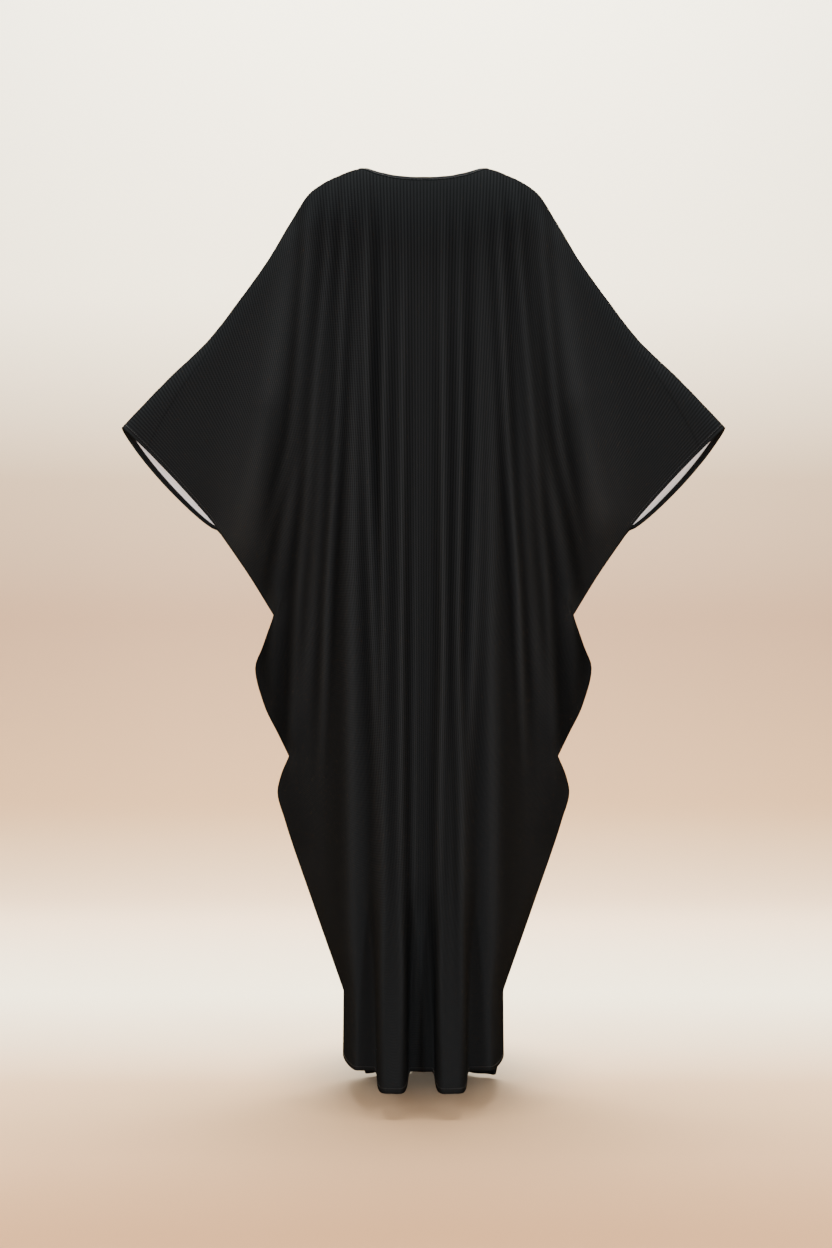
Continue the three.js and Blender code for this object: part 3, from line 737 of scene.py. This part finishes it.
def new_material(name, roughness):
    material = bpy.data.materials.new(name)
    material.use_nodes = True
    nodes = material.node_tree.nodes
    shader = nodes["Principled BSDF"]
    shader.inputs["Roughness"].default_value = roughness
    return material, nodes, material.node_tree.links, shader


def stripes(nodes, links, place, scale):
    """Straight stripes across the width of the place that they are given."""
    wave = nodes.new("ShaderNodeTexWave")
    wave.wave_type = "BANDS"
    wave.bands_direction = "X"
    wave.inputs["Scale"].default_value = scale
    links.new(place, wave.inputs["Vector"])
    return wave.outputs["Fac"]


def two_colours(nodes, links, share, low, high):
    """Colour between two, by a share."""
    ramp = nodes.new("ShaderNodeValToRGB")
    ramp.color_ramp.elements[0].color = (*low, 1)
    ramp.color_ramp.elements[1].color = (*high, 1)
    links.new(share, ramp.inputs["Fac"])
    return ramp.outputs["Color"]


def relief(nodes, links, height, shader, strength, depth):
    bump = nodes.new("ShaderNodeBump")
    bump.inputs["Strength"].default_value = strength
    bump.inputs["Distance"].default_value = depth
    links.new(height, bump.inputs["Height"])
    links.new(bump.outputs["Normal"], shader.inputs["Normal"])


def black_cloth_material():
    """Fine ribbed knit: ribs along the grain, crossed by a slanting twill, in near black."""
    material, nodes, links, shader = new_material("black_cloth", KNIT_ROUGHNESS)
    place = nodes.new("ShaderNodeUVMap")
    place.uv_map = "cut"
    slant = nodes.new("ShaderNodeMapping")
    slant.inputs["Rotation"].default_value = (0, 0, math.radians(TWILL_ANGLE))
    links.new(place.outputs["UV"], slant.inputs["Vector"])
    both = nodes.new("ShaderNodeMath")
    both.operation = "MULTIPLY_ADD"
    both.inputs[1].default_value = TWILL_SHARE
    links.new(stripes(nodes, links, slant.outputs["Vector"], TWILL_SCALE), both.inputs[0])
    links.new(stripes(nodes, links, place.outputs["UV"], RIB_SCALE), both.inputs[2])
    relief(nodes, links, both.outputs["Value"], shader, KNIT_RELIEF, KNIT_RELIEF_DEPTH)

    # The knit's grooves are darker as painted shade. Then painted light on the folds' crest lines and
    # painted shade in their troughs, from the crest attribute
    colour = two_colours(nodes, links, both.outputs["Value"], KNIT_GROOVE, KNIT_RIB)
    crest = nodes.new("ShaderNodeAttribute")
    crest.attribute_name = "crest"
    tone = nodes.new("ShaderNodeMapRange")
    tone.inputs["To Min"].default_value = PAINTED_TROUGH_SHADE
    tone.inputs["To Max"].default_value = PAINTED_CREST_LIGHT
    links.new(crest.outputs["Fac"], tone.inputs["Value"])
    toned = nodes.new("ShaderNodeVectorMath")
    toned.operation = "SCALE"
    links.new(colour, toned.inputs[0])
    links.new(tone.outputs["Result"], toned.inputs["Scale"])
    links.new(toned.outputs["Vector"], shader.inputs["Base Color"])
    shader.inputs["Specular IOR Level"].default_value = 0.0
    return material


def white_reverse_material():
    """Plain reverse of the knit, with the back of its ribs."""
    material, nodes, links, shader = new_material("white_reverse", REVERSE_ROUGHNESS)
    place = nodes.new("ShaderNodeUVMap")
    place.uv_map = "cut"
    ribs = stripes(nodes, links, place.outputs["UV"], REVERSE_SCALE)
    relief(nodes, links, ribs, shader, REVERSE_RELIEF, REVERSE_RELIEF_DEPTH)
    # Darker in the grooves as painted shade
    colour = two_colours(nodes, links, ribs, REVERSE_GROOVE, REVERSE_RIB)
    links.new(colour, shader.inputs["Base Color"])
    return material


def thread_material():
    """Black sewing thread, a little uneven."""
    material, nodes, links, shader = new_material("black_thread", THREAD_ROUGHNESS)
    noise = nodes.new("ShaderNodeTexNoise")
    noise.inputs["Scale"].default_value = THREAD_SCALE
    colour = two_colours(nodes, links, noise.outputs["Fac"], THREAD_DARK, THREAD_LIGHT)
    links.new(colour, shader.inputs["Base Color"])
    return material


def studio_material():
    """Pale warm paper with painted light and shade: its tone changes with height up the wall and with
    distance over the floor, and a painted shadow lies on the floor round the hem.
    """
    material, nodes, links, shader = new_material("studio_paper", PAPER_ROUGHNESS)
    place = nodes.new("ShaderNodeTexCoord")
    split = nodes.new("ShaderNodeSeparateXYZ")
    links.new(place.outputs["UV"], split.inputs["Vector"])
    tones = nodes.new("ShaderNodeValToRGB")
    ramp = tones.color_ramp
    while len(ramp.elements) < len(PAPER_COLOUR_WITH_PAINTED_SHADE):
        ramp.elements.new(0.5)
    for element, (position, colour) in zip(ramp.elements, PAPER_COLOUR_WITH_PAINTED_SHADE):
        element.position = position
        element.color = (*colour, 1)
    links.new(split.outputs["Y"], tones.inputs["Fac"])

    # Soft dark patch on the floor round the hem, where least light reaches
    under = nodes.new("ShaderNodeMapping")
    under.vector_type = "TEXTURE"
    under.inputs["Location"].default_value = SHADE_PLACE
    under.inputs["Scale"].default_value = SHADE_RADII
    links.new(place.outputs["Object"], under.inputs["Vector"])
    away = nodes.new("ShaderNodeVectorMath")
    away.operation = "LENGTH"
    links.new(under.outputs["Vector"], away.inputs[0])
    fade = nodes.new("ShaderNodeMapRange")
    fade.interpolation_type = "SMOOTHSTEP"
    fade.inputs["From Min"].default_value = SHADE_FADES_FROM
    links.new(away.outputs["Value"], fade.inputs["Value"])
    shade = nodes.new("ShaderNodeMix")
    shade.data_type = "RGBA"
    shade.inputs["A"].default_value = (*SHADE_COLOUR, 1)
    shade.inputs["B"].default_value = (1, 1, 1, 1)
    links.new(fade.outputs["Result"], shade.inputs["Factor"])
    lit = nodes.new("ShaderNodeMix")
    lit.data_type = "RGBA"
    lit.blend_type = "MULTIPLY"
    lit.inputs["Factor"].default_value = 1.0
    links.new(tones.outputs["Color"], lit.inputs["A"])
    links.new(shade.outputs["Result"], lit.inputs["B"])
    links.new(lit.outputs["Result"], shader.inputs["Base Color"])
    return material


def make_studio():
    """Floor that curves up into a wall behind the dress, as seen by the camera on +Y."""
    bend_start = WALL_Y + WALL_BEND
    profile = [(FLOOR_END, FLOOR_Z), (bend_start, FLOOR_Z)]
    for i in range(1, BEND_STEPS + 1):
        angle = math.pi / 2 * i / BEND_STEPS
        y = bend_start - WALL_BEND * math.sin(angle)
        profile.append((y, FLOOR_Z + WALL_BEND * (1 - math.cos(angle))))
    profile.append((WALL_Y, WALL_TOP))
    verts = []
    faces = []
    for y, z in profile:
        verts += [(-STUDIO_HALF_WIDTH, y, z), (STUDIO_HALF_WIDTH, y, z)]
    for i in range(len(profile) - 1):
        faces.append((2 * i, 2 * i + 1, 2 * i + 3, 2 * i + 2))
    mesh = bpy.data.meshes.new("studio")
    mesh.from_pydata(verts, [], faces)
    lengths = [0.0]
    for (y0, z0), (y1, z1) in zip(profile, profile[1:]):
        lengths.append(lengths[-1] + math.hypot(y1 - y0, z1 - z0))
    uv = mesh.uv_layers.new(name="tone")
    for loop in mesh.loops:
        uv.data[loop.index].uv = (0.5, lengths[loop.vertex_index // 2] / lengths[-1])
    for polygon in mesh.polygons:
        polygon.use_smooth = True
    mesh.materials.append(studio_material())
    add_object("studio", mesh)


def area_light(name, place, target, size, power, colour):
    data = bpy.data.lights.new(name, "AREA")
    data.shape = "RECTANGLE"
    data.size, data.size_y = size
    data.energy = power
    data.color = colour
    light = add_object(name, data)
    light.location = place
    toward = np.array(target, float) - np.array(place, float)
    light.rotation_euler = Vector(toward).to_track_quat("-Z", "Y").to_euler()


def make_camera():
    data = bpy.data.cameras.new("camera")
    data.lens = CAMERA_LENS
    camera = add_object("camera", data)
    camera.location = (CAMERA_X, CAMERA_DISTANCE, CAMERA_Z)
    camera.rotation_euler = (math.pi / 2, 0, math.pi)
    bpy.context.scene.camera = camera


def make_lights():
    for row in LIGHTS:
        area_light(*row)
    world = bpy.data.worlds.new("world")
    world.use_nodes = True
    background = world.node_tree.nodes["Background"]
    background.inputs["Color"].default_value = (*WORLD_COLOUR, 1)
    background.inputs["Strength"].default_value = WORLD_STRENGTH
    bpy.context.scene.world = world


make_camera()
make_lights()
make_studio()

black_cloth = black_cloth_material()
white_reverse = white_reverse_material()
thread = thread_material()

back = make_panel("back_cloth", True, [black_cloth, white_reverse])
front = make_panel("front_cloth", False, [black_cloth, white_reverse])
binding = make_binding(black_cloth)

for stitches in make_stitches(thread):
    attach(stitches, "root")

for piece, node in ((back, "back_panel"), (front, "front_panel"), (binding, "neck_binding")):
    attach(piece, "root")
    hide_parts(node)
